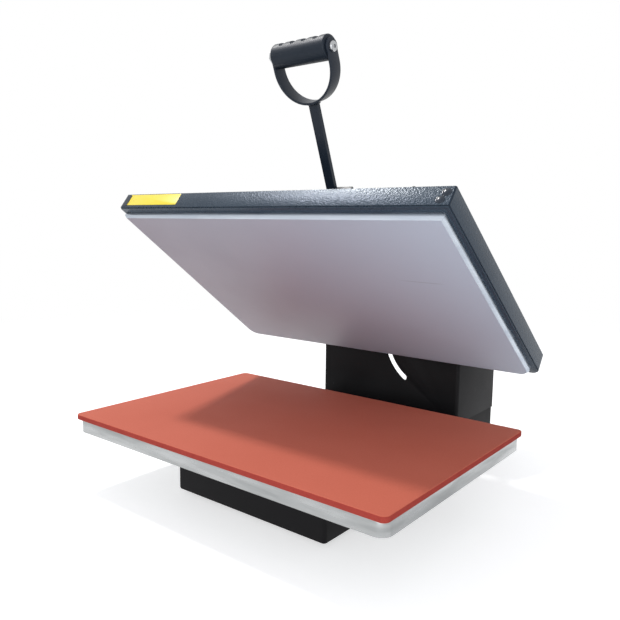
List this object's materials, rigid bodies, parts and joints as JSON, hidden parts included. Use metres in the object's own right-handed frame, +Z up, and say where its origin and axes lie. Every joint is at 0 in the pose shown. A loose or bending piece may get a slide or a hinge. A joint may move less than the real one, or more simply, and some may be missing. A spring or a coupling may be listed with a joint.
{
  "type": "flatbed heat press",
  "caption": "Clamshell flatbed heat press, shown open: heated upper platen on hinged swing arms with a lever handle over a lower platen with a soft pad, on a sheet steel base and column.",
  "frame": {"origin": "on the floor, in the middle of the footprint from the work pad's front edge to the column's back", "axes": "+Z up, +X to the operator's right, -Y towards the operator"},
  "size_m": [0.617, 0.6352, 0.7134],
  "materials": {
    "rubber_black": "matt black rubber",
    "frame_black": "satin black powder coat",
    "pad_red": "soft brick-red silicone sponge, fine even surface",
    "plate_grey": "ground and painted light grey casting",
    "steel_zinc": "bright zinc plate",
    "steel_spring": "oiled spring steel",
    "bronze": "sintered bronze",
    "paint_navy": "gloss navy-black paint",
    "plastic_black": "satin black plastic",
    "ptfe_grey": "grey non-stick coating, slightly mottled",
    "steel_sheath": "heat-browned steel sheath",
    "wool_white": "ceramic fibre",
    "hammer_grey": "slate grey hammertone paint",
    "panel_grey": "grey textured film",
    "window_smoke": "smoked clear plastic",
    "button_white": "off-white plastic",
    "board_green": "green laminate",
    "switch_red": "red plastic"
  },
  "bodies": {
    "base": {"rubber_feet": "rubber_black", "foot_screws": "steel_zinc", "base_tray": "frame_black", "base_bottom_plate": "frame_black", "column_shell": "frame_black", "column_rear_tie": "frame_black", "work_pad": "pad_red", "lower_platen": "plate_grey", "platen_support_rails": "frame_black", "inner_pivot_plates": "frame_black", "outer_pivot_plates": "frame_black", "frame_bolts": "steel_zinc", "pivot_shafts": "steel_zinc", "retaining_rings": "steel_spring", "shaft_spacers": "steel_zinc", "stop_pins": "steel_zinc", "torsion_springs": "steel_spring"},
    "arm": {"swing_arms": "frame_black", "arm_bushes": "bronze", "arm_bridge": "frame_black", "arm_rear_tie": "steel_zinc", "pressure_nut": "bronze", "fulcrum_bolt": "steel_zinc", "fulcrum_spacers": "steel_zinc", "start_switch": "plastic_black"},
    "lever": {"lever_crank": "paint_navy", "lever_bush": "bronze", "lever_bar": "paint_navy", "handle_yoke": "paint_navy", "handle_grip": "plastic_black", "grip_tube": "steel_zinc", "grip_bolt": "steel_zinc"},
    "link": {"links": "frame_black", "link_pins": "steel_zinc"},
    "platen": {"heater_plate": "ptfe_grey", "heating_element": "steel_sheath", "element_strips": "steel_zinc", "insulation_blanket": "wool_white", "platen_posts": "steel_zinc", "carrier_plate": "steel_zinc", "platen_cover": "hammer_grey", "heat_shelf": "hammer_grey", "thermocouple": "steel_sheath", "swivel": "steel_zinc", "guide_pins": "steel_zinc", "control_box_shell": "hammer_grey", "control_panel": "panel_grey", "display_window": "window_smoke", "circuit_board": "board_green", "relay": "plastic_black", "rocker_switch_body": "plastic_black", "mains_inlet": "plastic_black", "fuse_holder": "plastic_black"},
    "screw": {"pressure_screw": "steel_zinc", "pressure_knob": "plastic_black"},
    "button_down": {"button_down": "button_white"},
    "button_set": {"button_set": "button_white"},
    "button_up": {"button_up": "button_white"},
    "rocker_key": {"rocker_key": "switch_red"}
  },
  "joints": [
    {"name": "arm_swing", "type": "hinge", "parent": "base", "child": "arm", "pos_m": [0, 0.21595, 0.1362], "axis": [1, 0, 0], "range_deg": [0, 37.2], "stiffness_Nm_per_rad": 46, "springref_deg": -100.27, "deforming": ["torsion_springs"]},
    {"name": "lever_swing", "type": "hinge", "parent": "arm", "child": "lever", "pos_m": [0, -0.01366, 0.47131], "axis": [1, 0, 0], "range_deg": [0, 40.95]},
    {"name": "link_swing", "type": "hinge", "parent": "base", "child": "link", "pos_m": [0, 0.25845, 0.206], "axis": [1, 0, 0], "range_deg": [0, 35.4]},
    {"name": "platen_slide", "type": "slide", "parent": "arm", "child": "platen", "axis": [0, 0.6046, 0.7965], "range_m": [0, 0.008]},
    {"name": "pressure_knob_turn", "type": "hinge", "parent": "platen", "child": "screw", "pos_m": [0, 0.00357, 0.40801], "axis": [0, 0.6046, 0.7965], "range_deg": [0, 1441]},
    {"name": "button_down_press", "type": "slide", "parent": "platen", "child": "button_down", "axis": [0, 0.7965, -0.6046], "range_m": [0, 0.0015], "stiffness_N_per_m": 400, "springref_m": -0.0005},
    {"name": "button_set_press", "type": "slide", "parent": "platen", "child": "button_set", "axis": [0, 0.7965, -0.6046], "range_m": [0, 0.0015], "stiffness_N_per_m": 400, "springref_m": -0.0005},
    {"name": "button_up_press", "type": "slide", "parent": "platen", "child": "button_up", "axis": [0, 0.7965, -0.6046], "range_m": [0, 0.0015], "stiffness_N_per_m": 400, "springref_m": -0.0005},
    {"name": "power_switch", "type": "hinge", "parent": "platen", "child": "rocker_key", "pos_m": [0.25, -0.08478, 0.4241], "axis": [0, 0.6046, 0.7965], "range_deg": [0, 12]}
  ],
  "couplings": [
    {"joint": "lever_swing", "follows": "arm_swing", "ratio": 1.1},
    {"joint": "link_swing", "follows": "arm_swing", "ratio": 0.95},
    {"joint": "pressure_knob_turn", "follows": "platen_slide", "rad_per_m": 3141.6}
  ]
}
